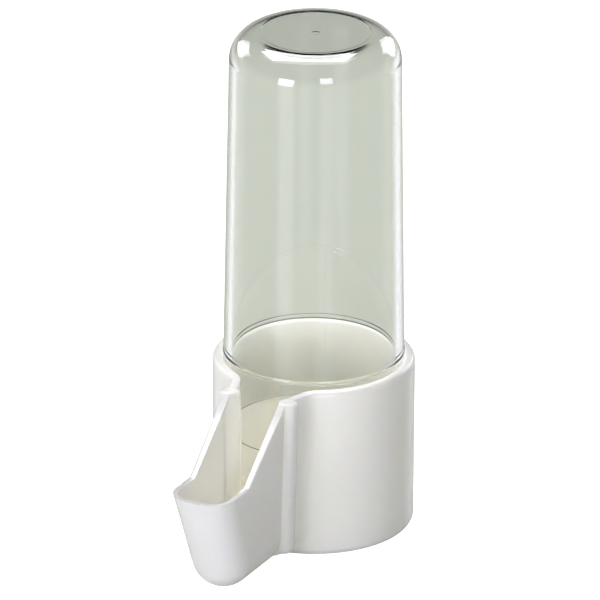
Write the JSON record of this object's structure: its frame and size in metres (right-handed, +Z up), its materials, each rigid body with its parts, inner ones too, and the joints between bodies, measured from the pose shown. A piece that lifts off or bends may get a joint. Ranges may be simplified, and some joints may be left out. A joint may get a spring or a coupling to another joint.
{
  "type": "bird siphon drinker",
  "caption": "Cage bird drinker: a clear domed water tube standing mouth down in a white cup with a narrow open drinking spout and ribbed grooves for the cage bars.",
  "frame": {"origin": "on the cup's axis, in the middle of the flat underside that stands on the table", "axes": "+Z up along the cup's and the tube's shared axis; the drinking spout points along -Y; X runs across the spout"},
  "size_m": [0.052, 0.0933, 0.1348],
  "materials": {
    "white_plastic": "smooth moulded white plastic with a soft gloss",
    "clear_plastic": "clear moulded plastic with a faint smoky green tint"
  },
  "bodies": {
    "base": {"drinker_base": "white_plastic"},
    "reservoir": {"reservoir_tube": "clear_plastic"}
  },
  "joints": [
    {"name": "reservoir_lift", "type": "slide", "parent": "base", "child": "reservoir", "axis": [0, 0, 1], "range_m": [0, 0.03]}
  ]
}
